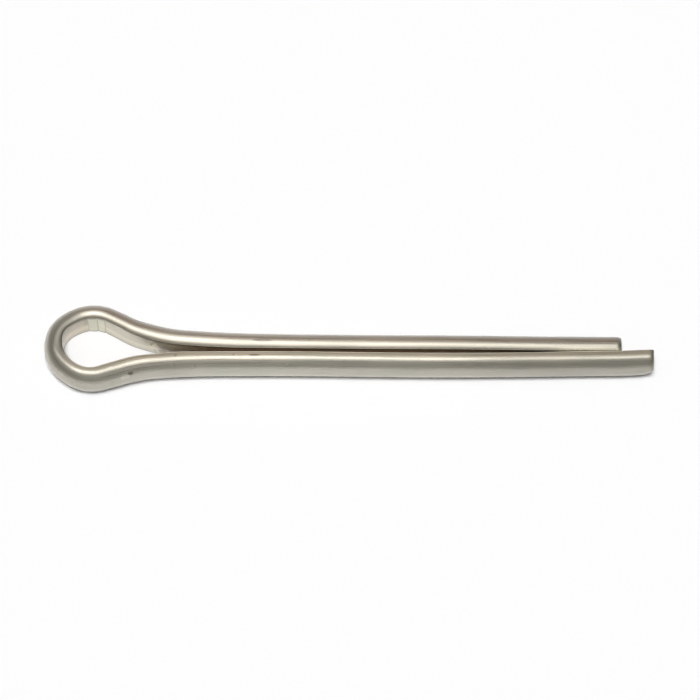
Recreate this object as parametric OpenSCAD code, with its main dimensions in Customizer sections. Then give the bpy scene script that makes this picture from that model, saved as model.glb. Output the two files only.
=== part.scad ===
// Cotter pin: one length of half-round wire bent into a lopsided teardrop eye, with a short and
// a long prong that lie flat to flat. The shank runs along +X from the seat under the eye, which
// is the origin. The eye's axis is Z, and the pin lies on its side, as it would on a table.

/* [Wire] */
// Radius of the wire's round side
wire_r = 1.48; // [1.3:0.02:1.7]
// How far the flat is set back from the centre of the round side
flat_setback = 0.1; // [0.04:0.02:0.2]
// Rounding of the two long edges beside the flat
edge_r = 0.16; // [0.08:0.02:0.3]

/* [Prongs] */
// Length from the seat under the eye to the end of the short prong
short_length = 31.75; // [20:0.25:50]
// How far the long prong stands past the short one
prong_extension = 2.2; // [1.5:0.1:4]
// Gap between the flats at the end of the short prong
tip_gap = 0.06; // [0.04:0.02:0.3]
// Angle by which each prong leans in towards the other, degrees
prong_lean = 0.3; // [0.1:0.02:0.5]
// Length of the bevel round the end of the short prong
short_bevel = 0.2; // [0.1:0.05:0.5]
// Depth of the bevel round the end of the short prong
short_bevel_depth = 0.2; // [0.1:0.05:0.4]
// Length of the bevel round the end of the long prong
long_bevel = 0.8; // [0.3:0.05:1.5]
// Depth of the bevel round the end of the long prong
long_bevel_depth = 0.35; // [0.1:0.05:0.6]

/* [Eye] */
// Distance from the seat to the inside of the eye's nose
eye_length = 7.6; // [6:0.05:10]
// How far the nose stands from the shank's axis, on the short prong's side
nose_offset = 0.6; // [0.3:0.02:0.8]
// Inner radius of the nose on the short prong's side
nose_r = 1.45; // [1.2:0.05:2]
// Turn of the nose before the crown begins, degrees
nose_turn = 42; // [30:1:65]
// Inner radius of the crown, which leads to the short prong
crown_r = 2.3; // [2:0.05:3]
// Inner radius of the belly, which leads to the long prong
belly_r = 2; // [1.8:0.05:2.4]

/* [Neck] */
// Slope of the flank where it meets the shoulder of the short prong, degrees
short_flank_slope = 27; // [22:1:30]
// Slope of the flank where it meets the shoulder of the long prong, degrees
long_flank_slope = 18; // [15:1:22]
// How far each flank still turns on its way to the shoulder, degrees
flank_turn = 2; // [1:0.5:4]
// Radius of the bend from each flank towards its prong
shoulder_r = 11; // [5:0.5:13]
// Radius of the last gentle bend before each straight prong
lead_r = 70; // [40:5:90]
// Turn of that last bend, degrees
lead_turn = 4; // [2:0.5:6]

/* [Hidden] */
$fn = 96;
steel = [0.64, 0.61, 0.56];
// Heading at the nose, where the wire crosses the shank's axis squarely
nose_heading = 90;
// How far cutting shapes stand past what they cut
margin = 0.5;
// The rounding of an edge is drawn a hair larger, so that it crosses the faces beside it
edge_proud = 1.01;
// A place is split into a round part and a remainder, so that it keeps all its digits
place_step = 0.01;

// A pose is [x, y, heading] on the line that the middle of the flat follows. A bend is
// [radius, turn], and its turn is positive where the flat is on the inside.
function walk(pose, bend) =
    let (side = sign(bend[1]), heading = pose[2] - bend[1])
    [pose[0] + side * bend[0] * (sin(pose[2]) - sin(heading)),
     pose[1] + side * bend[0] * (cos(heading) - cos(pose[2])),
     heading];

// The pose after the first few bends
function pose_after(start, bends, count) =
    count == 0 ? start : walk(pose_after(start, bends, count - 1), bends[count - 1]);

// All the bends from the nose to a straight prong
function bends_to_prong(eye_bends, flank_r, slope) =
    concat(eye_bends, [[flank_r, flank_turn],
                       [shoulder_r, lead_turn + prong_lean - slope],
                       [lead_r, -lead_turn]]);

// The flank's radius that brings its prong to half the tip gap at the end of the short prong
function flank_radius(start, eye_bends, slope) =
    let (bends = bends_to_prong(eye_bends, 0, slope),
         root = pose_after(start, bends, len(bends)),
         drop = cos(slope - flank_turn) - cos(slope),
         run = sin(slope) - sin(slope - flank_turn),
         height = tip_gap / 2 + (short_length - root[0]) * tan(prong_lean))
    (root[1] - height) / (drop - run * tan(prong_lean));

// Half-round section with its flat on the Y axis and its two edges rounded
module wire_section() {
    reach = wire_r + margin;
    round_centre = [-flat_setback, 0];
    edge_y = sqrt((wire_r - edge_r) ^ 2 - (edge_r + flat_setback) ^ 2);
    edge_centre = [edge_r, edge_y];
    outward = (edge_centre - round_centre) / (wire_r - edge_r);
    difference() {
        intersection() {
            translate(round_centre) circle(r = wire_r);
            translate([0, -reach]) square([reach, 2 * reach]);
        }
        for (lower = [0, 1]) mirror([0, lower])
            difference() {
                polygon([edge_centre, [-margin, edge_y], [-margin, reach], round_centre + outward * reach]);
                translate(edge_centre) circle(r = edge_r * edge_proud);
            }
    }
}

// Moves its children by a vector, with all its digits
module place(offset) {
    rounded = [for (part = offset) round(part / place_step) * place_step];
    translate(rounded) translate(offset - rounded) children();
}

// One bend of the wire
module wire_bend(pose, bend) {
    side = sign(bend[1]);
    centre = [pose[0] + side * bend[0] * sin(pose[2]), pose[1] - side * bend[0] * cos(pose[2])];
    first = side > 0 ? pose[2] - bend[1] + 90 : pose[2] - 90;
    place(centre)
        rotate_extrude(start = first, angle = abs(bend[1]))
            place([bend[0], 0]) mirror([side > 0 ? 0 : 1, 0]) wire_section();
}

// A straight prong along +X, bevelled round its end
module prong(length, bevel, depth) {
    slope = depth / bevel;
    rotate([90, 0, 90])
        difference() {
            linear_extrude(length) wire_section();
            translate([-flat_setback, 0]) rotate_extrude()
                polygon([[wire_r + margin * slope, length - bevel - margin],
                         [wire_r - depth - margin * slope, length + margin],
                         [wire_r + 2 * margin, length + margin],
                         [wire_r + 2 * margin, length - bevel - margin]]);
        }
}

// Half of the pin: from the nose round its side of the eye, down its flank and along its prong
module pin_half(start, eye_bends, slope, tip_x, bevel, depth) {
    bends = bends_to_prong(eye_bends, flank_radius(start, eye_bends, slope), slope);
    root = pose_after(start, bends, len(bends));
    for (i = [0 : len(bends) - 1]) wire_bend(pose_after(start, bends, i), bends[i]);
    place([root[0], root[1]]) rotate([0, 0, root[2]])
        prong((tip_x - root[0]) / cos(prong_lean), bevel, depth);
}

module short_half() {
    crown_turn = nose_heading - nose_turn + short_flank_slope - flank_turn;
    pin_half([-eye_length, nose_offset, nose_heading],
             [[nose_r, nose_turn], [crown_r, crown_turn]],
             short_flank_slope, short_length, short_bevel, short_bevel_depth);
}

module long_half() {
    belly_turn = nose_heading + long_flank_slope - flank_turn;
    mirror([0, 1])
        pin_half([-eye_length, -nose_offset, nose_heading],
                 [[belly_r, belly_turn]],
                 long_flank_slope, short_length + prong_extension, long_bevel, long_bevel_depth);
}

module cotter_pin() {
    color(steel) {
        short_half();
        long_half();
    }
}

cotter_pin();
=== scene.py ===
# %% [markdown]
# A cotter pin is one piece of half-round wire. It is bent round a mandrel into an eye, and its two
# ends come back side by side, flat to flat, as a short and a long prong. This script dresses the
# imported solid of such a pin: it sweeps the wire once more with a finer surface, gives it the finish
# of drawn steel, and lights it on a white table. All sizes are in millimetres, and the meshes are in
# metres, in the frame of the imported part: +X runs along the shank, +Z along the eye's axis.

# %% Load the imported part
import math
from collections import namedtuple

import bpy
import numpy as np
from mathutils import Matrix, Vector


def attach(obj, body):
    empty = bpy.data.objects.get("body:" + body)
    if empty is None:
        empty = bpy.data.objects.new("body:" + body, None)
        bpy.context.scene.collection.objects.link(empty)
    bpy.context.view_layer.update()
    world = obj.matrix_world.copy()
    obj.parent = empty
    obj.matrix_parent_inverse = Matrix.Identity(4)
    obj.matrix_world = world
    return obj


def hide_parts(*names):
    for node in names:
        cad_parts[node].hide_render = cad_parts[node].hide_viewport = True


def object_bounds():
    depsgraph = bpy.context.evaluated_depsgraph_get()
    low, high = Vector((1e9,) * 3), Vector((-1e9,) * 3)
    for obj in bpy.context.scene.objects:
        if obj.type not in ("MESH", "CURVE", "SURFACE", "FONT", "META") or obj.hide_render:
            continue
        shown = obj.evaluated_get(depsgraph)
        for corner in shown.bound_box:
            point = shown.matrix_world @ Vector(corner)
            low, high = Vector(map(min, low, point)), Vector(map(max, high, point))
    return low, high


MM = 0.001
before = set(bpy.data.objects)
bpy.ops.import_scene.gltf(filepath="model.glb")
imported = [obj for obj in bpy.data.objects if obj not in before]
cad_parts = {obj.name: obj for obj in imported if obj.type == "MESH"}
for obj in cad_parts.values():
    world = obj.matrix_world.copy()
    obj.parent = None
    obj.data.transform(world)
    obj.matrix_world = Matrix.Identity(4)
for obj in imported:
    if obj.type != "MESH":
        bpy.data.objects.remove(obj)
cad_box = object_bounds()
print("packed part, mm:", [[round(c / MM, 2) for c in corner] for corner in cad_box])

# %% [markdown]
# The wire's line is a chain of circular bends, as a bending tool makes them. Each half of the pin
# starts at the nose of the eye and ends at the tip of its prong. The line could be drawn by hand as
# a curve, but a chain of bends keeps each radius a plain number and has no kinks. The line follows
# the middle of the wire's flat side, which is the inside of the eye.

# %% Sizes of the wire and of its bends
ROUND_R = 1.48
FLAT_SETBACK = 0.1
EDGE_R = 0.07
THICKNESS = ROUND_R - FLAT_SETBACK

SHORT_TIP_X = 31.67
LONG_TIP_X = 33.94
TIP_GAP = 0.06
PRONG_LEAN = 0.3

NOSE_X = -7.6
NOSE_Y = 0.6
NOSE_HEADING = 90.0
FLANK_TURN = 2.0
SHORT_SLOPE = 27.0
LONG_SLOPE = 18.0
NOSE_BEND = (1.45, 42.0)
CROWN_BEND = (2.3, NOSE_HEADING - NOSE_BEND[1] + SHORT_SLOPE - FLANK_TURN)
BELLY_BEND = (2.0, NOSE_HEADING + LONG_SLOPE - FLANK_TURN)
SHOULDER_R = 11.0
LEAD_BEND = (70.0, -4.0)
# Each half ends with three bends: its flank, its shoulder and its lead
NECK_BENDS = 3
print("wire, mm:", round(THICKNESS, 2), "thick, its round side", ROUND_R, "in radius")


# %% Walk along the bends
def walk(pose, bend):
    """The pose (x, y, heading) after a bend (radius, turn), which turns right where positive."""
    x, y, heading = pose
    radius, turn = bend
    side = math.copysign(1.0, turn)
    start, end = math.radians(heading), math.radians(heading - turn)
    return (x + side * radius * (math.sin(start) - math.sin(end)),
            y + side * radius * (math.cos(end) - math.cos(start)),
            heading - turn)


def walk_all(pose, bends):
    """The pose after several bends."""
    for bend in bends:
        pose = walk(pose, bend)
    return pose


def bends_to_prong(start, eye_bends, slope):
    """All bends of one half. The flank's radius is the one that brings the prongs together."""
    shoulder = (SHOULDER_R, PRONG_LEAN - LEAD_BEND[1] - slope)
    root_x, root_y, _ = walk_all(start, [*eye_bends, (0.0, FLANK_TURN), shoulder, LEAD_BEND])
    lean = math.tan(math.radians(PRONG_LEAN))
    before, after = math.radians(slope - FLANK_TURN), math.radians(slope)
    drop = math.cos(before) - math.cos(after)
    run = math.sin(after) - math.sin(before)
    height = TIP_GAP / 2 + (SHORT_TIP_X - root_x) * lean
    flank_r = (root_y - height) / (drop - run * lean)
    return [*eye_bends, (flank_r, FLANK_TURN), shoulder, LEAD_BEND]


short_start = (NOSE_X, NOSE_Y, NOSE_HEADING)
long_start = (NOSE_X, -NOSE_Y, NOSE_HEADING)
short_bends = bends_to_prong(short_start, [NOSE_BEND, CROWN_BEND], SHORT_SLOPE)
long_bends = bends_to_prong(long_start, [BELLY_BEND], LONG_SLOPE)
flank_radii = [round(bends[-NECK_BENDS][0], 1) for bends in (short_bends, long_bends)]
print("flank radii, mm:", flank_radii)

# %% [markdown]
# The sweep puts a ring of points at each station along the line. Stations stand close together where
# the wire bends or ends, and far apart along the straight prongs, so the mesh is fine only where it
# has something to show. The long half is walked as if it were the upper one, and is mirrored later.

# %% Place the stations
EYE_STEP = 0.03
NECK_STEP = 0.06
PRONG_STEP = 0.125
TIP_STEPS = (0.0, 0.006, 0.014, 0.025, 0.04, 0.06, 0.085, 0.115, 0.15, 0.2,
             0.26, 0.33, 0.42, 0.52, 0.64, 0.78, 0.92)


def half_line(start, bends, tip_x):
    """Stations (x, y, heading) of one half, from the nose to its tip."""
    stations = [start]
    pose = start
    for i, (radius, turn) in enumerate(bends):
        step = EYE_STEP if i < len(bends) - NECK_BENDS else NECK_STEP
        parts = math.ceil(abs(radius * math.radians(turn)) / step)
        stations += [walk(pose, (radius, turn * (k + 1) / parts)) for k in range(parts)]
        pose = walk(pose, (radius, turn))
    x, y, heading = pose
    cosine, sine = math.cos(math.radians(heading)), math.sin(math.radians(heading))
    straight = (tip_x - x) / cosine
    plain = straight - TIP_STEPS[-1]
    parts = math.ceil(plain / PRONG_STEP)
    runs = [plain * (k + 1) / parts for k in range(parts)]
    runs += [straight - step for step in reversed(TIP_STEPS[:-1])]
    stations += [(x + run * cosine, y + run * sine, heading) for run in runs]
    return np.array(stations)


def lengths(points):
    """Running length along points."""
    return np.concatenate([[0.0], np.cumsum(np.linalg.norm(np.diff(points, axis=0), axis=1))])


def outward_of(headings):
    """Unit vectors that point away from the flat, to the left of each heading."""
    angle = np.radians(headings)
    return np.stack([-np.sin(angle), np.cos(angle)], 1)


short_line = half_line(short_start, short_bends, SHORT_TIP_X)
long_line = half_line(long_start, long_bends, LONG_TIP_X)
short_run = lengths(short_line[:, :2])
long_run = lengths(long_line[:, :2])
print("stations:", len(short_line), "on the short half,", len(long_line), "on the long half")

# %% [markdown]
# Wire doesn't leave the bending tool as it went in: its outer side thins where it is stretched, it
# twists a little, and its prongs bow. So each station carries how the wire differs there from its
# drawn section. Thick and wide are its depth and its height as shares, and lift is how far its flat
# has moved outwards. Lean and splay are how far its upper and its lower half stand aside for each
# millimetre of height. All of this moves the wire's skin by 0.15 mm at most, and it makes the pin
# look bent and not drawn with a ruler.


# %% Ways to ease a value along the wire
def smooth(edge0, edge1, value):
    """Smooth step from 0 at edge0 to 1 at edge1."""
    t = np.clip((np.asarray(value) - edge0) / (edge1 - edge0), 0.0, 1.0)
    return t * t * (3 - 2 * t)


def hump(values, middle, reach):
    """A smooth hump that is 1 at its middle and 0 from its reach outwards."""
    return np.clip(1 - ((values - middle) / reach) ** 2, 0.0, 1.0) ** 2


def ease_along(stops, weights):
    """A value that starts at the first stop and moves on to each next one as its weight goes to 1."""
    value = stops[0]
    for before, after, weight in zip(stops, stops[1:], weights):
        value = value + (after - before) * weight
    return value


# %% How the short half was bent
NOSE_THICK, CROWN_THICK, SHANK_THICK, SHORT_TIP_THICK = 0.95, 0.96, 1.075, 1.035
NOSE_LIFT, CROWN_LIFT, SHANK_LIFT, SHORT_TIP_LIFT = 0.06, -0.02, -0.125, -0.05
CROWN_RUN = (0.8, 2.0)
THICK_NECK_RUN = (3.6, 7.8)
LIFT_NECK_RUN = (3.6, 6.4)
SHORT_END_X = (25.0, 32.5)
FAR_BOW, FAR_BOW_X, FAR_BOW_REACH = 0.02, 21.0, 8.0
NECK_SWELL, SWELL_X, SWELL_REACH = 0.054, 0.5, 9.0
CROWN_LEAN = -0.05
LEAN_RUN, UPRIGHT_RUN = (0.5, 1.5), (5.5, 2.0)
NECK_SPLAY, SPLAY_RUN, UNSPLAYED_RUN = -0.055, (5.2, 7.6), (10.5, 8.5)

at_crown = smooth(*CROWN_RUN, short_run)
at_short_end = smooth(*SHORT_END_X, short_line[:, 0])
thick_neck = smooth(*THICK_NECK_RUN, short_run)
short_thick = ease_along((NOSE_THICK, CROWN_THICK, SHANK_THICK, SHORT_TIP_THICK),
                         (at_crown, thick_neck, at_short_end))
short_thick += NECK_SWELL * hump(short_line[:, 0], SWELL_X, SWELL_REACH) * thick_neck
short_lift = ease_along((NOSE_LIFT, CROWN_LIFT, SHANK_LIFT, SHORT_TIP_LIFT),
                        (at_crown, smooth(*LIFT_NECK_RUN, short_run), at_short_end))
short_lift += FAR_BOW * hump(short_line[:, 0], FAR_BOW_X, FAR_BOW_REACH)
short_lean = CROWN_LEAN * smooth(*LEAN_RUN, short_run) * smooth(*UPRIGHT_RUN, short_run)
short_splay = NECK_SPLAY * smooth(*SPLAY_RUN, short_run) * smooth(*UNSPLAYED_RUN, short_run)
print("short half: thick", short_thick.min().round(3), "to", short_thick.max().round(3))

# %% How the long half was bent
BELLY_THICK, LONG_THICK, LONG_END_THICK = 0.886, 0.907, 0.93
BELLY_LIFT, LONG_LIFT, LONG_END_LIFT = 0.022, 0.025, 0.0
FLANK_LEAN, FLANK_LEAN_RUN, FLANK_UPRIGHT_RUN = -0.035, (2.8, 4.4), (8.0, 6.2)
BELLY_RUN = (0.5, 2.0)
LONG_NECK_RUN = (4.0, 6.5)
LONG_BOW, BOW_X, BOW_REACH = 0.12, 20.0, 13.0
SHOULDER_SWELL, SHOULDER_X, SHOULDER_REACH = 0.055, 0.4, 2.2
LONG_END_X = (24.0, 30.0)
LONG_TIP_SET, LONG_TIP_RANGE = 0.085, (31.3, 34.5)

at_belly = smooth(*BELLY_RUN, long_run)
past_belly = smooth(*LONG_NECK_RUN, long_run)
at_long_end = smooth(*LONG_END_X, long_line[:, 0])
long_weights = (at_belly, past_belly, at_long_end)
long_thick = ease_along((NOSE_THICK, BELLY_THICK, LONG_THICK, LONG_END_THICK), long_weights)
long_lift = ease_along((NOSE_LIFT, BELLY_LIFT, LONG_LIFT, LONG_END_LIFT), long_weights)
long_lift += LONG_BOW * hump(long_line[:, 0], BOW_X, BOW_REACH)
long_lift -= LONG_TIP_SET * smooth(*LONG_TIP_RANGE, long_line[:, 0])
shoulder_swell = SHOULDER_SWELL * hump(long_line[:, 0], SHOULDER_X, SHOULDER_REACH)
long_thick += shoulder_swell / THICKNESS
long_lift -= shoulder_swell
long_lean = FLANK_LEAN * smooth(*FLANK_LEAN_RUN, long_run) * smooth(*FLANK_UPRIGHT_RUN, long_run)
print("long half: thick", long_thick.min().round(3), "to", long_thick.max().round(3))

# %% [markdown]
# Shears cut the wire to length. They leave a rim that is rolled over rather than sharp, and on the
# long prong they have dragged the lower side of the end inwards. The last rings of the sweep draw in
# along a quarter of an ellipse, which a bevel on the finished mesh couldn't follow so evenly.

# %% Round the tips
WIDE = 0.989
SHORT_ROUNDING = (0.34, 0.15)
LONG_ROUNDING = (0.16, 0.09)
LONG_ROLL = (0.42, 0.13)
LONG_SWEEP = (1.0, 0.4)


def tip_inset(distance, length, depth):
    """How far a rounded tip has drawn in at a distance from its end."""
    share = np.clip(1 - distance / length, 0.0, 1.0)
    return depth * (1 - np.sqrt(1 - share ** 2))


short_tip = short_run[-1] - short_run
long_tip = long_run[-1] - long_run
short_inset = tip_inset(short_tip, *SHORT_ROUNDING)
long_inset = tip_inset(long_tip, *LONG_ROUNDING)
short_thick -= short_inset / THICKNESS
long_thick -= long_inset / THICKNESS
short_wide = WIDE - short_inset / ROUND_R
long_wide = WIDE - long_inset / ROUND_R
long_roll = -tip_inset(long_tip, *LONG_ROLL)
long_sweep = -tip_inset(long_tip, *LONG_SWEEP) / THICKNESS
print("tips drawn in by, mm:", short_inset.max().round(2), long_inset.max().round(2))

# %% [markdown]
# The eye was bent round a mandrel with flats, whose edges have pressed three thin lines and two flat
# places into the inside of the crown. They are part of the mesh: each station's press moves the flat
# side outwards at a line, and inwards to the chord between two lines.

# %% Press the mandrel's marks into the crown
MANDREL_EDGES = (2.6, 3.28, 3.83)
GROOVE_DEPTH, GROOVE_WIDTH = 0.035, 0.05


def mandrel_press(run):
    """Depth of the marks inside the crown."""
    depth = np.zeros(len(run))
    for start, end in zip(MANDREL_EDGES, MANDREL_EDGES[1:]):
        depth -= np.clip((run - start) * (end - run), 0.0, None) / (2 * CROWN_BEND[0])
    for edge in MANDREL_EDGES:
        depth += GROOVE_DEPTH * np.exp(-((run - edge) / GROOVE_WIDTH) ** 2)
    return depth


short_press = mandrel_press(short_run)
print("deepest mandrel mark, mm:", short_press.max().round(3))

# %% Join the two halves
MIRROR = np.array([1.0, -1.0])


def join(short_values, long_values):
    """One list from the short tip round the eye to the long tip."""
    return np.concatenate([np.asarray(short_values)[::-1], np.asarray(long_values)[1:]])


line = join(short_line[:, :2], long_line[:, :2] * MIRROR)
outward = join(outward_of(short_line[:, 2]), outward_of(long_line[:, 2]) * MIRROR)
no_short, no_long = np.zeros(len(short_run)), np.zeros(len(long_run))
station_values = {
    "along": join(-short_run, long_run),
    "lift": join(short_lift, long_lift),
    "lean": join(short_lean, long_lean),
    "splay": join(short_splay, no_long),
    "thick": join(short_thick, long_thick),
    "wide": join(short_wide, long_wide),
    "sweep": join(no_short, long_sweep),
    "roll": join(no_short, long_roll),
    "press": join(short_press, no_long),
}
print("wire length, mm:", (short_run[-1] + long_run[-1]).round(1), "in", len(line), "stations")

# %% Make the line a mesh with its values
FIELDS = {"FLOAT": "value", "FLOAT_VECTOR": "vector"}


def store(mesh, name, kind, rows):
    """Gives each point of a mesh a number or a vector."""
    flat_rows = np.asarray(rows, dtype=np.float32).ravel()
    mesh.attributes.new(name, kind, "POINT").data.foreach_set(FIELDS[kind], flat_rows)


line_mesh = bpy.data.meshes.new("wire_line")
line_mesh.from_pydata([(x * MM, y * MM, 0.0) for x, y in line],
                      [(i, i + 1) for i in range(len(line) - 1)], [])
for name, values in station_values.items():
    store(line_mesh, name, "FLOAT", values)
store(line_mesh, "outward", "FLOAT_VECTOR", np.column_stack([outward, np.zeros(len(outward))]))
pin = bpy.data.objects.new("cotter_pin_wire", line_mesh)
bpy.context.scene.collection.objects.link(pin)
print("line:", len(line_mesh.edges), "edges with", len(station_values), "values each")

# %% [markdown]
# Half-round wire is drawn through a D-shaped die. In Geometry Nodes an arc that is closed by its own
# chord is such a D, and a fillet on its two end points alone rounds the long edges. Curve to Mesh then
# runs the D along the line. A bevel object on a curve would do the same, but the nodes let each point
# keep where it lies on the section, so that the wire can be thinned, and the grain of the steel can
# follow the wire as if it were still straight.


# %% Small helpers for node trees
def socket_of(node, name):
    """An input by its name, with underscores for spaces, or by its number as i0, i1 and so on."""
    if name[0] == "i" and name[1:].isdigit():
        return node.inputs[int(name[1:])]
    return node.inputs[name.replace("_", " ")]


def add(tree, kind, settings=None, **inputs):
    """A node with its settings, and its inputs set to a value or linked to another node's output."""
    node = tree.nodes.new(kind)
    for name, value in (settings or {}).items():
        setattr(node, name, value)
    for name, value in inputs.items():
        socket = socket_of(node, name)
        if isinstance(value, bpy.types.NodeSocket):
            tree.links.new(value, socket)
        else:
            socket.default_value = value
    return node


def calc(tree, operation, first, second=None, third=None):
    """The output of one Math node."""
    given = {f"i{i}": v for i, v in enumerate((first, second, third)) if v is not None}
    return add(tree, "ShaderNodeMath", {"operation": operation}, **given).outputs[0]


def vector_calc(tree, operation, first, second=None, scale=None):
    """The vector output of one Vector Math node."""
    given = {f"i{i}": v for i, v in enumerate((first, second)) if v is not None}
    if scale is not None:
        given["Scale"] = scale
    return add(tree, "ShaderNodeVectorMath", {"operation": operation}, **given).outputs[0]


# %% The inputs of the tree that draws the wire
tree = bpy.data.node_groups.new("bent half-round wire", "GeometryNodeTree")
sizes = {
    "Round radius": ROUND_R * MM,
    "Flat setback": FLAT_SETBACK * MM,
    "Edge rounding": EDGE_R * MM,
}
tree.interface.new_socket("Line", in_out="INPUT", socket_type="NodeSocketGeometry")
identifiers = {}
for name in sizes:
    socket = tree.interface.new_socket(name, in_out="INPUT", socket_type="NodeSocketFloat")
    identifiers[name] = socket.identifier
socket = tree.interface.new_socket("Steel", in_out="INPUT", socket_type="NodeSocketMaterial")
material_id = socket.identifier
tree.interface.new_socket("Wire", in_out="OUTPUT", socket_type="NodeSocketGeometry")
given = tree.nodes.new("NodeGroupInput").outputs
print("inputs of the wire tree:", ", ".join(sizes))

# %% The D-shaped section
ARC_POINTS = 47
EDGE_POINTS = 6
FLAT_CUTS = 21
HALF_STEP = 0.5

half_angle = calc(tree, "ARCCOSINE", calc(tree, "DIVIDE", given["Flat setback"], given["Round radius"]))
arc = add(tree, "GeometryNodeCurveArc", Resolution=ARC_POINTS, Radius=given["Round radius"],
          Start_Angle=calc(tree, "MULTIPLY", half_angle, -1.0),
          Sweep_Angle=calc(tree, "MULTIPLY", half_angle, 2.0))
closed = add(tree, "GeometryNodeSetSplineCyclic", Geometry=arc.outputs[0], Cyclic=True)
index = tree.nodes.new("GeometryNodeInputIndex").outputs[0]
to_end = (ARC_POINTS - 1) / 2
from_middle = calc(tree, "ABSOLUTE", calc(tree, "SUBTRACT", index, to_end))
is_end = calc(tree, "COMPARE", from_middle, to_end, HALF_STEP)
rounded = add(tree, "GeometryNodeFilletCurve", {"mode": "POLY"}, Curve=closed.outputs[0],
              Count=EDGE_POINTS, Radius=calc(tree, "MULTIPLY", is_end, given["Edge rounding"]))
count = tree.nodes.new("GeometryNodeSplineLength").outputs["Point Count"]
is_flat = calc(tree, "COMPARE", index, calc(tree, "SUBTRACT", count, 1.0), HALF_STEP)
cut_flat = add(tree, "GeometryNodeSubdivideCurve", Curve=rounded.outputs[0],
               Cuts=calc(tree, "MULTIPLY", is_flat, float(FLAT_CUTS)))
to_flat = add(tree, "ShaderNodeCombineXYZ", X=calc(tree, "MULTIPLY", given["Flat setback"], -1.0))
section = add(tree, "GeometryNodeSetPosition", Geometry=cut_flat.outputs[0], Offset=to_flat.outputs[0])
position = tree.nodes.new("GeometryNodeInputPosition").outputs[0]
VECTORS = {"data_type": "FLOAT_VECTOR", "domain": "POINT"}
marked = add(tree, "GeometryNodeStoreNamedAttribute", VECTORS, Geometry=section.outputs[0],
             Name="section", Value=position)
print("section:", ARC_POINTS, "points round the arc,", FLAT_CUTS, "across the flat")

# %% Sweep it and shape it
PRESS_REACH = 0.25
SWEEP_HEIGHTS = (0.5, -0.4)
ROLL_HEIGHTS = (-0.1, 1.2)


def read(name, kind="FLOAT"):
    """A value that the line's stations carry."""
    return add(tree, "GeometryNodeInputNamedAttribute", {"data_type": kind}, Name=name).outputs[0]


def share_of(value, zero_at, one_at):
    """0 to 1 as a length goes from one size to another, both in millimetres."""
    limits = {"From_Min": zero_at * MM, "From_Max": one_at * MM}
    return add(tree, "ShaderNodeMapRange", Value=value, **limits).outputs[0]


spine = add(tree, "GeometryNodeMeshToCurve", Mesh=given["Line"])
upright = add(tree, "GeometryNodeSetCurveNormal", {"mode": "Z_UP"}, Curve=spine.outputs[0])
swept = add(tree, "GeometryNodeCurveToMesh", Curve=upright.outputs[0], Profile_Curve=marked.outputs[0],
            Fill_Caps=True)
depth = add(tree, "ShaderNodeSeparateXYZ", Vector=read("section", "FLOAT_VECTOR")).outputs["X"]
height = add(tree, "ShaderNodeSeparateXYZ", Vector=position).outputs["Z"]
moved = calc(tree, "MULTIPLY_ADD", read("press"), share_of(depth, PRESS_REACH, 0.0), read("lift"))
lifted = calc(tree, "MULTIPLY", moved, MM)
lower_height = calc(tree, "MINIMUM", height, 0.0)
splayed = calc(tree, "MULTIPLY_ADD", lower_height, read("splay"), lifted)
upper_height = calc(tree, "MAXIMUM", height, 0.0)
leaned = calc(tree, "MULTIPLY_ADD", upper_height, read("lean"), splayed)
thickness = calc(tree, "MULTIPLY_ADD", read("sweep"), share_of(height, *SWEEP_HEIGHTS), read("thick"))
depth_change = calc(tree, "MULTIPLY_ADD", depth, calc(tree, "SUBTRACT", thickness, 1.0), leaned)
full_roll = calc(tree, "MULTIPLY", read("roll"), MM)
rolled = calc(tree, "MULTIPLY", full_roll, share_of(height, *ROLL_HEIGHTS))
height_change = calc(tree, "MULTIPLY_ADD", height, calc(tree, "SUBTRACT", read("wide"), 1.0), rolled)
sideways = vector_calc(tree, "SCALE", read("outward", "FLOAT_VECTOR"), scale=depth_change)
upwards = add(tree, "ShaderNodeCombineXYZ", Z=height_change).outputs[0]
shaped = add(tree, "GeometryNodeSetPosition", Geometry=swept.outputs[0],
             Offset=vector_calc(tree, "ADD", sideways, upwards))
print("each ring is shaped by:", ", ".join(station_values))

# %% Keep the grain, and end the tree
straight = add(tree, "ShaderNodeCombineXYZ", X=read("along"), Y=calc(tree, "DIVIDE", depth, MM),
               Z=calc(tree, "DIVIDE", height, MM)).outputs[0]
grained = add(tree, "GeometryNodeStoreNamedAttribute", VECTORS, Geometry=shaped.outputs[0],
              Name="grain", Value=straight)
real = add(tree, "GeometryNodeRealizeInstances", Geometry=grained.outputs[0])
coated = add(tree, "GeometryNodeSetMaterial", Geometry=real.outputs[0], Material=given["Steel"])
tree.links.new(coated.outputs[0], tree.nodes.new("NodeGroupOutput").inputs["Wire"])
print("wire tree:", len(tree.nodes), "nodes")

# %% [markdown]
# The steel is bright drawn wire: satin, a little warm, with fine lines that run lengthwise from the
# die. All of its brightness is reflection, so the material is a metal whose colour and roughness vary
# only a little. The lines are noise that is stretched along the wire, read from the grain attribute,
# where the wire is still straight. An image would need unwrapping and would show a seam.

# %% The steel's lines and clouds
STEEL = (0.475, 0.456, 0.398)
LINE_SCALE, LINE_STRETCH, LINE_DETAIL = 9.0, 0.02, 3.0
LINE_RANGE, LINE_TONES = (0.3, 0.7), (0.94, 1.05)
CLOUD_SCALE, CLOUD_STRETCH, CLOUD_DETAIL = 0.9, 0.35, 2.0
CLOUD_RANGE, CLOUD_TONES = (0.35, 0.65), ((0.93, 0.94, 0.93), (1.05, 1.03, 1.02))

steel = bpy.data.materials.new("drawn_steel")
steel.use_nodes = True
nodes = steel.node_tree
bsdf = nodes.nodes["Principled BSDF"]
bsdf.inputs["Metallic"].default_value = 1.0
grain = add(nodes, "ShaderNodeAttribute", {"attribute_name": "grain"}).outputs["Vector"]


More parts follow.
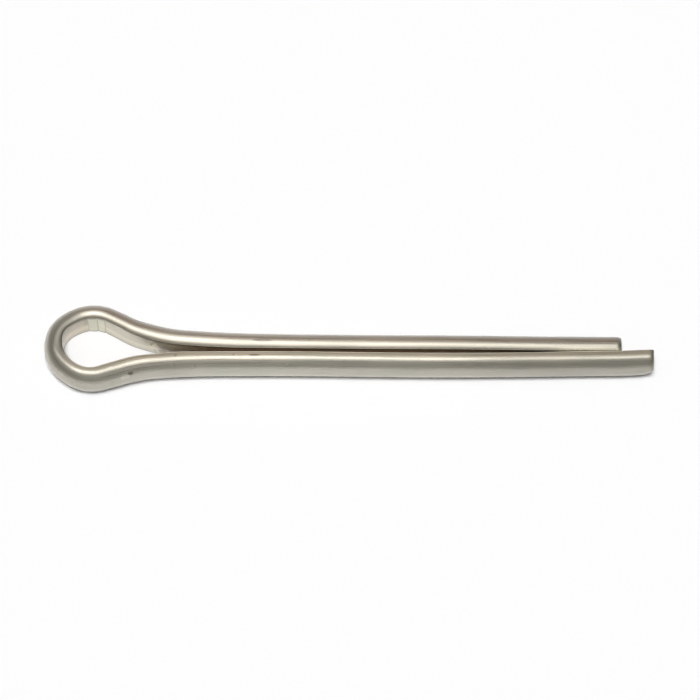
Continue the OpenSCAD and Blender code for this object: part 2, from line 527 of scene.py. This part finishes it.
def stretched_noise(scale, stretch, detail):
    """Noise on the straight wire's coordinates, stretched along it."""
    mapped = add(nodes, "ShaderNodeMapping", Vector=grain, Scale=(stretch, 1.0, 1.0)).outputs[0]
    return add(nodes, "ShaderNodeTexNoise", Vector=mapped, Scale=scale, Detail=detail).outputs[0]


def colour_between(value, places, colours):
    """A Color Ramp from one colour to another between two places."""
    node = add(nodes, "ShaderNodeValToRGB", Fac=value)
    for element, place, colour in zip(node.color_ramp.elements, places, colours):
        element.position = place
        element.color = (*colour, 1.0)
    return node.outputs[0]


lines = stretched_noise(LINE_SCALE, LINE_STRETCH, LINE_DETAIL)
clouds = stretched_noise(CLOUD_SCALE, CLOUD_STRETCH, CLOUD_DETAIL)
line_colour = colour_between(lines, LINE_RANGE, [tuple(tone * c for c in STEEL) for tone in LINE_TONES])
cloud_colour = colour_between(clouds, CLOUD_RANGE, CLOUD_TONES)
bare_colour = vector_calc(nodes, "MULTIPLY", line_colour, cloud_colour)
print("steel colour:", STEEL, "with lines from", LINE_TONES[0], "to", LINE_TONES[1], "of it")

# %% The steel's gloss
ROUGHNESS, ROUGHNESS_SPREAD = 0.3, 0.05
LINE_BUMP, LINE_HEIGHT = 0.12, 0.02

rough = add(nodes, "ShaderNodeMapRange", Value=lines, From_Min=LINE_RANGE[0], From_Max=LINE_RANGE[1],
            To_Min=ROUGHNESS - ROUGHNESS_SPREAD, To_Max=ROUGHNESS + ROUGHNESS_SPREAD)
bump = add(nodes, "ShaderNodeBump", Strength=LINE_BUMP, Distance=LINE_HEIGHT * MM, Height=lines)
nodes.links.new(rough.outputs[0], bsdf.inputs["Roughness"])
nodes.links.new(bump.outputs[0], bsdf.inputs["Normal"])
print("steel: roughness", ROUGHNESS, "and lines", LINE_HEIGHT, "mm high at most")

# %% [markdown]
# The pin has been handled: there is a nick in its belly with a scraped place beside it, and a few
# pits and scratches along the prongs. Each mark is an ellipse on the wire's skin, given by where it
# lies along the wire and round it, and by its two half sizes. Its tone multiplies the steel's colour.
# Most marks are far smaller than a face of the mesh, so the shader draws them. The nick alone is deep
# enough to change how the light falls, so it is dented into the mesh as well, once the wire is swept.

# %% Marks on the steel
Mark = namedtuple("Mark", "run across half_length half_width tone")
MARKS = {
    "nick": Mark(5.76, 1.38, 0.27, 0.22, 0.5),
    "scraped place": Mark(5.32, 1.6, 0.46, 0.3, 1.2),
    "long scratch": Mark(14.75, 0.41, 0.5, 0.11, 0.58),
    "short pit": Mark(13.29, 0.39, 0.12, 0.12, 0.75),
    "neck pit": Mark(9.19, 0.39, 0.16, 0.12, 0.68),
    "belly pit": Mark(10.56, 1.28, 0.09, 0.12, 0.72),
    "cross line": Mark(9.07, 1.05, 0.06, 0.3, 0.84),
    "bright spot": Mark(17.03, 1.16, 0.14, 0.08, 1.3),
    "far scrape": Mark(-15.3, 0.72, 0.85, 0.16, 0.6),
}
MARK_CORE = 0.25

wire_place = add(nodes, "ShaderNodeSeparateXYZ", Vector=grain).outputs
from_centre = calc(nodes, "ADD", wire_place["Y"], FLAT_SETBACK)
around = calc(nodes, "MULTIPLY", ROUND_R, calc(nodes, "ARCTAN2", from_centre, wire_place["Z"]))
# The tint attribute carries the painted light and shade of the wire's points into its colour
tint_read = add(nodes, "ShaderNodeAttribute", {"attribute_name": "tint"}).outputs["Vector"]
steel_colour = vector_calc(nodes, "MULTIPLY", bare_colour, tint_read)
for mark in MARKS.values():
    past_middle = calc(nodes, "SUBTRACT", wire_place["X"], mark.run)
    lengthwise = calc(nodes, "DIVIDE", past_middle, mark.half_length)
    off_middle = calc(nodes, "SUBTRACT", around, mark.across)
    crosswise = calc(nodes, "DIVIDE", off_middle, mark.half_width)
    length_part = calc(nodes, "MULTIPLY", lengthwise, lengthwise)
    spread = calc(nodes, "MULTIPLY_ADD", crosswise, crosswise, length_part)
    tone = add(nodes, "ShaderNodeMapRange", {"interpolation_type": "SMOOTHSTEP"}, Value=spread,
               From_Min=MARK_CORE, From_Max=1.0, To_Min=mark.tone, To_Max=1.0).outputs[0]
    steel_colour = vector_calc(nodes, "SCALE", steel_colour, scale=tone)
nodes.links.new(steel_colour, bsdf.inputs["Base Color"])
print("marks:", ", ".join(MARKS))

# %% Sweep the wire and make it a plain mesh
QUAD_CORNERS = 4

modifier = pin.modifiers.new("bent half-round wire", "NODES")
modifier.node_group = tree
for name, value in sizes.items():
    modifier[identifiers[name]] = value
modifier[material_id] = steel
depsgraph = bpy.context.evaluated_depsgraph_get()
wire_mesh = bpy.data.meshes.new_from_object(pin.evaluated_get(depsgraph))
pin.modifiers.remove(modifier)
pin.data = wire_mesh
wire_mesh.name = "cotter_pin_wire"
is_cap = np.array([len(face.vertices) > QUAD_CORNERS for face in wire_mesh.polygons])
wire_mesh.polygons.foreach_set("use_smooth", ~is_cap)
print("wire:", len(wire_mesh.vertices), "points,", (~is_cap).sum(), "faces and", is_cap.sum(), "caps")

# %% Read where each point lies
point_count = len(wire_mesh.vertices)


def rows_of(collection, key):
    """Three numbers for each point of the mesh."""
    rows = np.zeros(point_count * 3, dtype=np.float32)
    collection.foreach_get(key, rows)
    return rows.reshape(-1, 3).astype(float)


run_at, depth_at, height_at = rows_of(wire_mesh.attributes["grain"].data, "vector").T
place_at = rows_of(wire_mesh.vertices, "co")
x_at = place_at[:, 0] / MM
far_run = -run_at
across_at = ROUND_R * np.arctan2(depth_at + FLAT_SETBACK, height_at)
print("wire from", run_at.min().round(1), "to", run_at.max().round(1), "mm along its line")

# %% Dent the nick
NICK_DEPTH = 0.05

nick = MARKS["nick"]
nick_along = (run_at - nick.run) / nick.half_length
nick_across = (across_at - nick.across) / nick.half_width
nick_depth = NICK_DEPTH * np.clip(1 - nick_along ** 2 - nick_across ** 2, 0.0, 1.0) ** 2
dented = place_at - rows_of(wire_mesh.vertices, "normal") * nick_depth[:, None] * MM
wire_mesh.vertices.foreach_set("co", dented.astype(np.float32).ravel())
wire_mesh.update()
print("nick:", (nick_depth > 0).sum(), "points, deepest", nick_depth.max().round(3), "mm")

# %% [markdown]
# Steel isn't one tone all over, and light and shade are painted into it here too. Inside the eye, the
# mandrel's flats and the flank are painted brighter, as painted reflection, and the wall has painted
# shade in its grooves, in its corners, at the nose and under the rim. The eye's inner rim has painted
# shade, a burr in its throat has a painted highlight, the near prong has painted stretches of light
# and shade, and the prongs grow darker towards the sheared tips, with painted shade on their ends and
# painted light on their edges there. These tones change slowly or follow the mesh's own edges, so they
# are painted on its points, as an attribute that the material multiplies into its colour. A pair of
# heights or runs says where such a tone begins and where it is full.

# %% Masks to paint with
WALL_DEPTH, WALL_HEIGHT = (0.2, 0.08), (1.38, 1.3)


def between(values, start, end, ease):
    """1 between two ends and 0 outside them."""
    return smooth(start - ease, start + ease, values) * smooth(end + ease, end - ease, values)


def paint(colour, *masks):
    """Multiplies the tint by a colour where all the masks are 1."""
    share = np.prod(masks, axis=0)[:, None]
    tint[:] = tint * (1 + share * (np.array(colour) - 1))


def paint_wall(colour, run, ease, *masks):
    """Paints the wall inside the eye from one end of a run to the other."""
    paint(colour, wall, between(far_run, *run, ease), *masks)


tint = np.ones((point_count, 3))
wall = smooth(*WALL_DEPTH, depth_at) * smooth(*WALL_HEIGHT, height_at)
print("flat side:", (wall > 0).sum(), "of", point_count, "points")

# %% Paint reflection and shade on the wall of the eye
WALL_START, WALL_END = 0.3, 7.6
LEFT_RUN, FLANK_RUN = (WALL_START, MANDREL_EDGES[0]), (MANDREL_EDGES[2], WALL_END)
SHARP, SOFT = 0.03, 0.2
# Painted reflection: each stretch of the wall gets a tone for what it mirrors, warmer left of the
# mandrel and brighter on its flats and the flank
WALL_REFLECTION_TONES = {
    "left of the mandrel": (LEFT_RUN, (1.0, 0.95, 0.9)),
    "first flat": (MANDREL_EDGES[:2], (1.17, 1.21, 1.13)),
    "second flat": (MANDREL_EDGES[1:], (1.29, 1.31, 1.22)),
    "flank": (FLANK_RUN, (1.13, 1.11, 1.05)),
}
# Painted shade in the three grooves that the mandrel's edges pressed
GROOVE_SHADE_TONES = (0.82, 0.6, 0.6)
# Painted highlight: a brighter strip low on the wall, left of the mandrel and along the flank
BRIGHT_RUNS = ((0.8, MANDREL_EDGES[0]), FLANK_RUN)
BRIGHT_HEIGHTS, STRIP_HIGHLIGHT_TONE = (-0.9, -0.2), (1.2, 1.2, 1.18)

for run, colour in WALL_REFLECTION_TONES.values():
    paint_wall(colour, run, SHARP)
for edge, groove_shade in zip(MANDREL_EDGES, GROOVE_SHADE_TONES):
    paint_wall((groove_shade,) * 3, (edge - SHARP, edge + SHARP), SHARP)
for run in BRIGHT_RUNS:
    paint_wall(STRIP_HIGHLIGHT_TONE, run, SHARP, between(height_at, *BRIGHT_HEIGHTS, SOFT))
print("wall tones:", ", ".join(WALL_REFLECTION_TONES))

# %% Paint shade on the wall of the eye
Shade = namedtuple("Shade", "run ease heights tone")
# Painted shade: each entry darkens a stretch of the wall where shade falls, except the throat's
SHADES = {
    "top of the left": Shade(LEFT_RUN, SHARP, (-0.4, 1.0), (0.86, 0.84, 0.8)),
    "corner at the mandrel": Shade((2.3, MANDREL_EDGES[0]), SHARP, (-0.2, 0.3), (0.84, 0.83, 0.8)),
    "under the rim": Shade((1.1, 4.6), SOFT, (0.85, 1.25), (0.7, 0.7, 0.68)),
    "nose": Shade((0.0, 1.2), 0.5, (-0.3, 1.2), (0.66, 0.66, 0.63)),
    # Painted highlight on the lower throat, where light falls in between the prongs
    "throat": Shade((7.3, 8.25), 0.25, (-0.6, 0.2), (1.5, 1.5, 1.44)),
    "foot of the burr": Shade((7.95, 8.45), 0.15, (0.15, -0.4), (0.6, 0.59, 0.57)),
}

for shade in SHADES.values():
    paint_wall(shade.tone, shade.run, shade.ease, smooth(*shade.heights, height_at))
print("wall shades:", ", ".join(SHADES))

# %% Paint shade on the rims
# Painted shade along the eye's inner rim, fading out along the far prong's flat edge, and along the
# wall's lower edge
RIM_DEPTH, RIM_HEIGHT = (0.36, 0.04), (1.15, 1.34)
RIM_SHADE_TONE, RIM_START_RUN = (0.5, 0.49, 0.47), (-1.4, -0.4)
RIM_WEAK_RUN, RIM_WEAK = (8.5, 13.0), 0.6
RIM_GONE_RUN = (31.0, 39.0)
LOW_RUN, LOW_EASE = (0.0, WALL_END), 0.3
LOW_DEPTH, LOW_HEIGHT, LOW_SHADE_TONE = (0.18, 0.06), (-1.22, -1.36), (0.42, 0.42, 0.42)

rim_weights = [smooth(*run, far_run) for run in (RIM_START_RUN, RIM_WEAK_RUN, RIM_GONE_RUN)]
rim_share = ease_along((0.0, 1.0, RIM_WEAK, 0.0), rim_weights)
paint(RIM_SHADE_TONE, rim_share, smooth(*RIM_DEPTH, depth_at), smooth(*RIM_HEIGHT, height_at))
low_share = between(far_run, *LOW_RUN, LOW_EASE)
paint(LOW_SHADE_TONE, low_share, smooth(*LOW_DEPTH, depth_at), smooth(*LOW_HEIGHT, height_at))
print("rims darkened to", RIM_SHADE_TONE, "above and", LOW_SHADE_TONE, "below")

# %% Paint a highlight on the burr in the throat
BURR_FOOT = -0.58
# Where each of its sides stands along the wire at the foot, and how far it slants as it rises
BURR_LEFT, BURR_LOW, BURR_RIGHT = (7.125, 0.4), (7.72, -0.24), (8.28, -0.33)
# Painted highlight on the burr, and painted shade in the fold at its left side
BURR_EDGE, BURR_HIGHLIGHT_TONE = 0.04, (1.42, 1.38, 1.31)
FOLD_WIDTH, FOLD_HEIGHTS, FOLD_SHADE_TONE = 0.18, (0.25, 0.75), (0.62, 0.62, 0.62)


def past(foot_run, slant):
    """How far each point lies past a side of the burr."""
    return far_run - foot_run - (height_at - BURR_FOOT) * slant


burr = smooth(BURR_EDGE, -BURR_EDGE, past(*BURR_RIGHT))
for side in (BURR_LEFT, BURR_LOW):
    burr *= smooth(-BURR_EDGE, BURR_EDGE, past(*side))
fold = between(past(*BURR_LEFT), -FOLD_WIDTH, 0.0, BURR_EDGE)
paint(BURR_HIGHLIGHT_TONE, wall, burr)
paint(FOLD_SHADE_TONE, wall, fold, between(height_at, *FOLD_HEIGHTS, BURR_EDGE))
print("burr:", (burr * wall > 0).sum(), "points")

# %% Paint the flats between the prongs, and light and shade on the prongs and tips
FLAT_TONE, FAR_FLAT_RUN = (1.9, 1.76, 1.68), (7.9, 8.8)
NEAR_FLAT_RUN, NEAR_FLAT_DEPTH = (9.0, 11.0), (0.12, 0.05)
OPEN_FLAT_X = (30.6, 29.6)
# The prongs grow darker towards their tips
TIPWARD_DARKER_TONE, TIPWARD_DARKER_X = (0.85, 0.85, 0.85), (8.0, 34.0)
# Middles of the near prong's stretches of painted light and painted shade, each with its reach and tone
NEAR_LIGHT_AND_SHADE_TONES = {6.0: (6.0, 1.09), 16.0: (10.0, 1.05), 26.0: (5.0, 0.96)}
# Painted light on the prongs' upper flat edges near their ends
END_EDGE_LIGHT_TONE, END_X = (1.7, 1.7, 1.62), (26.0, 28.5)
FAR_END_DEPTH, NEAR_END_DEPTH = (0.3, 0.1), (0.1, 0.04)
# Painted shade on the upper part of each rounded end
TIP_SHADE_TONE, TIP_REACH, TIP_HEIGHT = (0.74, 0.73, 0.7), (0.4, 0.0), (-0.4, 0.4)

paint(FLAT_TONE, wall, smooth(*FAR_FLAT_RUN, far_run))
paint(FLAT_TONE, smooth(*NEAR_FLAT_DEPTH, depth_at), smooth(*WALL_HEIGHT, height_at),
      smooth(*NEAR_FLAT_RUN, run_at), smooth(*OPEN_FLAT_X, x_at))
paint(TIPWARD_DARKER_TONE, smooth(*TIPWARD_DARKER_X, x_at))
for middle, (reach, near_light_shade) in NEAR_LIGHT_AND_SHADE_TONES.items():
    paint((near_light_shade,) * 3, hump(x_at, middle, reach), run_at > 0)
on_edges = np.where(run_at < 0, smooth(*FAR_END_DEPTH, depth_at), smooth(*NEAR_END_DEPTH, depth_at))
paint(END_EDGE_LIGHT_TONE, smooth(*END_X, x_at), x_at < SHORT_TIP_X, on_edges, height_at > 0)
to_tip = np.where(run_at < 0, short_run[-1] - far_run, long_run[-1] - run_at)
paint(TIP_SHADE_TONE, smooth(*TIP_REACH, to_tip), smooth(*TIP_HEIGHT, height_at))
store(wire_mesh, "tint", "FLOAT_VECTOR", tint)
print("tint from", tint.min().round(2), "to", tint.max().round(2))

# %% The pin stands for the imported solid
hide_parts("cotter_pin")
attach(pin, "root")
print("piece:", pin.name)

# %% [markdown]
# The pin lies on a white table, and the camera looks down on it steeply from the side of the long
# prong. The table is plain paper: it has no gloss of its own, so that only the pin shines.

# %% The table
TABLE_REACH = 3000.0
TABLE_CORNERS = ((-1, -1), (1, -1), (1, 1), (-1, 1))
PAPER = (0.92, 0.925, 0.94)

floor_z = cad_box[0].z
table_mesh = bpy.data.meshes.new("table")
reach = TABLE_REACH * MM
table_mesh.from_pydata([(x * reach, y * reach, floor_z) for x, y in TABLE_CORNERS], [], [(0, 1, 2, 3)])
table = bpy.data.objects.new("table", table_mesh)
bpy.context.scene.collection.objects.link(table)
paper = bpy.data.materials.new("white_paper")
paper.use_nodes = True
paper_bsdf = paper.node_tree.nodes["Principled BSDF"]
paper_bsdf.inputs["Base Color"].default_value = (*PAPER, 1.0)
paper_bsdf.inputs["Roughness"].default_value = 1.0
paper_bsdf.inputs["Specular IOR Level"].default_value = 0.0
table_mesh.materials.append(paper)
print("table at z, mm:", round(floor_z / MM, 3))

# %% The camera
CAMERA_ELEVATION = 69.9
CAMERA_TURN = -0.24
CAMERA_DISTANCE = 400.0
FRAME_WIDTH = 49.33
AIM = (12.578, 0.441, 0.0)
SENSOR = 36.0
NEAREST_SEEN = 10.0

turn, elevation = math.radians(CAMERA_TURN), math.radians(CAMERA_ELEVATION)
level = Vector((math.sin(turn), math.cos(turn), 0.0))
right = Vector((math.cos(turn), -math.sin(turn), 0.0))
up = level * math.sin(elevation) + Vector((0.0, 0.0, math.cos(elevation)))
toward = Vector((0.0, 0.0, math.sin(elevation))) - level * math.cos(elevation)
camera_data = bpy.data.cameras.new("camera")
camera_data.sensor_width = SENSOR
camera_data.lens = SENSOR * CAMERA_DISTANCE / FRAME_WIDTH
camera_data.clip_start = NEAREST_SEEN * MM
camera = bpy.data.objects.new("camera", camera_data)
camera.matrix_world = Matrix((right, up, toward)).transposed().to_4x4()
camera.location = (Vector(AIM) + toward * CAMERA_DISTANCE) * MM
bpy.context.scene.collection.objects.link(camera)
bpy.context.scene.camera = camera
print("camera at, mm:", [round(c / MM, 1) for c in camera.location])

# %% [markdown]
# A soft sun from beside the camera lights the paper, so that almost no shadow shows. Metal shows what
# it mirrors and little else, so its bright bands come from cards of light that stand round the pin,
# as studio lamps would. The cards are hidden from the paper, which would else be too bright.

# %% The sun
SUN_STRENGTH = 2.73
SUN_ANGLE = 14.0
SUN_PLACE = (-6.0, -70.0, 400.0)
SEAT = (0.0, 0.0, 0.0)
ALONG_SHANK = (1.0, 0.0, 0.0)


def aim(thing, place, target, long_side):
    """Stands a thing at a place so that it faces a target, with its width along long_side."""
    facing = (Vector(place) - Vector(target)).normalized()
    across = Vector(long_side)
    wide = (across - facing * facing.dot(across)).normalized()
    thing.matrix_world = Matrix((wide, facing.cross(wide), facing)).transposed().to_4x4()
    thing.location = Vector(place) * MM
    bpy.context.scene.collection.objects.link(thing)


sun_data = bpy.data.lights.new("soft_sun", "SUN")
sun_data.energy = SUN_STRENGTH
sun_data.angle = math.radians(SUN_ANGLE)
sun = bpy.data.objects.new("soft_sun", sun_data)
sun.visible_glossy = False
aim(sun, SUN_PLACE, SEAT, ALONG_SHANK)
print("sun:", SUN_STRENGTH, "strong and", SUN_ANGLE, "degrees wide")

# %% The cards of light
Card = namedtuple("Card", "place target long_side size radiance")
EYE = (-6.0, 0.0, 0.0)
WARM = (1.0, 0.975, 0.95)
CARDS = {
    "far_card": Card((9.0, 86.5, 67.9), (9.0, 0.0, 0.0), (1.0, -0.11, 0.16), (72.0, 40.0), 2.6),
    "crown_card": Card((-14.0, 100.0, 46.0), EYE, ALONG_SHANK, (40.0, 40.0), 1.95),
    "near_card": Card((-26.0, -47.7, 89.5), (-26.0, 0.0, 0.0), (1.0, -0.1, 0.0), (84.0, 17.0), 5.0),
    "near_end_card": Card((38.0, -55.0, 89.5), (38.0, 0.0, 0.0), (1.0, -0.08, 0.0), (44.0, 17.0), 3.9),
    "left_card": Card((-93.0, -14.0, 89.5), EYE, (-0.88, 0.55, 0.0), (100.0, 17.0), 2.1),
    "far_left_card": Card((-63.8, 57.8, 73.6), EYE, (1.0, 1.0, 0.0), (80.0, 40.0), 0.6),
}

for name, card in CARDS.items():
    card_data = bpy.data.lights.new(name, "AREA")
    card_data.shape = "RECTANGLE"
    card_data.size, card_data.size_y = (side * MM for side in card.size)
    card_data.energy = card.radiance * math.pi * card_data.size * card_data.size_y
    card_data.color = WARM
    light = bpy.data.objects.new(name, card_data)
    light.visible_diffuse = False
    light.visible_camera = False
    aim(light, card.place, card.target, card.long_side)
print("cards of light:", ", ".join(CARDS))

# %% [markdown]
# The dark bands of the metal are the parts of the room that aren't lit. The open paper ends soon in
# the mirror of the wire: a shade card lies on the table round the pin, pale beside it and darker
# farther out, and it turns up into a low dark wall on the far side. Only the metal sees it, so the
# table still looks white.

# %% Glowing cards that only the metal mirrors
BLACK = (0.0, 0.0, 0.0, 1.0)


def mirror_card(name, points, faces, colours):
    """A mesh whose points glow in their own colours, seen in reflections alone."""
    mesh = bpy.data.meshes.new(name)
    mesh.from_pydata([tuple(c * MM for c in point) for point in points], [], faces)
    store(mesh, "shade", "FLOAT_VECTOR", colours)
    glow = bpy.data.materials.new(name)
    glow.use_nodes = True
    shader = glow.node_tree.nodes["Principled BSDF"]
    shader.inputs["Base Color"].default_value = BLACK
    shader.inputs["Emission Strength"].default_value = 1.0
    shade = add(glow.node_tree, "ShaderNodeAttribute", {"attribute_name": "shade"}).outputs["Vector"]
    glow.node_tree.links.new(shade, shader.inputs["Emission Color"])
    mesh.materials.append(glow)
    card = bpy.data.objects.new(name, mesh)
    for ray in ("camera", "diffuse", "shadow", "transmission"):
        setattr(card, f"visible_{ray}", False)
    bpy.context.scene.collection.objects.link(card)
    print(name + ":", len(faces), "faces")


# %% The shade card round the pin
CARD_CLEARANCE = 0.02
CARD_Z = floor_z / MM + CARD_CLEARANCE
CARD_STRIDE = 8
OPEN_PAPER = np.array((0.95, 0.96, 1.0))
SHADE_SHARES = (0.0, 0.5, 0.85, 1.0, 1.0, 1.0)
FAR_REACHES = (2.0, 4.5, 11.0, 40.0, 120.0, 120.0)
LEFT_REACHES = (3.0, 5.6, 9.5, 40.0, 120.0, 120.0)
NEAR_REACHES = (9.0, 16.0, 26.0, 60.0, 120.0, 120.0)
FAR_SHADE = np.array((0.36, 0.28, 0.24))
LEFT_SHADE = np.array((0.33, 0.315, 0.29))
NEAR_SHADE = np.array((0.45, 0.44, 0.425))
FAR_SIDE_RUN, NEAR_SIDE_RUN = (1.4, 2.8), (0.6, 2.4)
PAST_TIPS = 30.0
WALL_TOP = 40.0


def thin_out(stations, run):
    """Some of a half's stations and their runs, and one more that lies past its tip."""
    some = np.append(np.arange(0, len(run) - 1, CARD_STRIDE), len(run) - 1)
    beyond = stations[-1] + (PAST_TIPS, 0.0, 0.0)
    return np.vstack([stations[some], beyond]), np.append(run[some], run[-1] + PAST_TIPS)


short_few, short_few_run = thin_out(short_line, short_run)
long_few, long_few_run = thin_out(long_line, long_run)
far_weight = smooth(*FAR_SIDE_RUN, short_few_run)[:, None]
near_weight = smooth(*NEAR_SIDE_RUN, long_few_run)[:, None]


def offset_row(stations, reach):
    """Points beside a half, at a reach from its outer side."""
    away = outward_of(np.clip(stations[:, 2], 0.0, None))
    return stations[:, :2] + outward_of(stations[:, 2]) * THICKNESS + away * reach


card_points, card_colours = [], []
for row, share in enumerate(SHADE_SHARES):
    short_reach = LEFT_REACHES[row] + (FAR_REACHES[row] - LEFT_REACHES[row]) * far_weight
    long_reach = LEFT_REACHES[row] + (NEAR_REACHES[row] - LEFT_REACHES[row]) * near_weight
    flat_points = join(offset_row(short_few, short_reach), offset_row(long_few, long_reach) * MIRROR)
    top = WALL_TOP if row == len(SHADE_SHARES) - 1 else 0.0
    rise = top * join(far_weight, np.zeros_like(near_weight))[:, 0]
    shade = join(LEFT_SHADE + (FAR_SHADE - LEFT_SHADE) * far_weight,
                 LEFT_SHADE + (NEAR_SHADE - LEFT_SHADE) * near_weight)
    card_points += [(x, y, CARD_Z + z) for (x, y), z in zip(flat_points, rise)]
    card_colours += list(OPEN_PAPER + (shade - OPEN_PAPER) * share)
row_length = len(card_points) // len(SHADE_SHARES)
card_faces = [(k, k + 1, k + 1 + row_length, k + row_length) for row in range(len(SHADE_SHARES) - 1)
              for k in range(row * row_length, (row + 1) * row_length - 1)]
mirror_card("shade_card", card_points, card_faces, card_colours)

# %% The light that seeps in between the prongs
SEEP = np.array((0.24, 0.205, 0.185))
SEEP_SHARES = {2.5: 0.4, 7.0: 1.0, 26.5: 1.0}
SEEP_Y = (-0.2, 0.25)

seep_points = [(x, y, CARD_Z) for x in SEEP_SHARES for y in SEEP_Y]
seep_colours = [SEEP * share for share in SEEP_SHARES.values() for _ in SEEP_Y]
seep_starts = range(0, len(seep_points) - len(SEEP_Y), len(SEEP_Y))
seep_faces = [(k, k + 2, k + 3, k + 1) for k in seep_starts]
mirror_card("seep_card", seep_points, seep_faces, seep_colours)

# %% [markdown]
# The room is a plain grey that turns beige overhead, where a warm ceiling would be, and darker at the
# two ends. It is dimmer for the paper than for the metal, because light from all round would put a
# broad grey stain under the pin.

# %% The room
ROOM_STOPS = (
    (0.0, (0.44, 0.43, 0.405)),
    (0.88, (0.46, 0.455, 0.445)),
    (0.985, (0.70, 0.60, 0.50)),
)
SIDE_RANGE, SIDE_TONE = (0.3, 1.0), 0.6
PAPER_SHARE = 0.5

world = bpy.data.worlds.new("room")
world.use_nodes = True
air = world.node_tree
direction = add(air, "ShaderNodeTexCoord").outputs["Generated"]
ways = add(air, "ShaderNodeSeparateXYZ", Vector=direction).outputs
rays = add(air, "ShaderNodeLightPath").outputs
sides = add(air, "ShaderNodeMapRange", Value=calc(air, "ABSOLUTE", ways["X"]), From_Min=SIDE_RANGE[0],
            From_Max=SIDE_RANGE[1], To_Min=1.0, To_Max=SIDE_TONE).outputs[0]
kept = add(air, "ShaderNodeMapRange", Value=rays["Is Diffuse Ray"], To_Min=1.0,
           To_Max=PAPER_SHARE).outputs[0]
heights = add(air, "ShaderNodeValToRGB", Fac=ways["Z"])
heights.color_ramp.elements.new(ROOM_STOPS[1][0])
for element, (place, colour) in zip(heights.color_ramp.elements, ROOM_STOPS):
    element.position = place
    element.color = (*colour, 1.0)
background = air.nodes["Background"]
air.links.new(heights.outputs[0], background.inputs["Color"])
air.links.new(calc(air, "MULTIPLY", sides, kept), background.inputs["Strength"])
bpy.context.scene.world = world
bpy.context.scene.view_settings.view_transform = "Standard"
print("room from", ROOM_STOPS[0][1], "up to", ROOM_STOPS[-1][1])
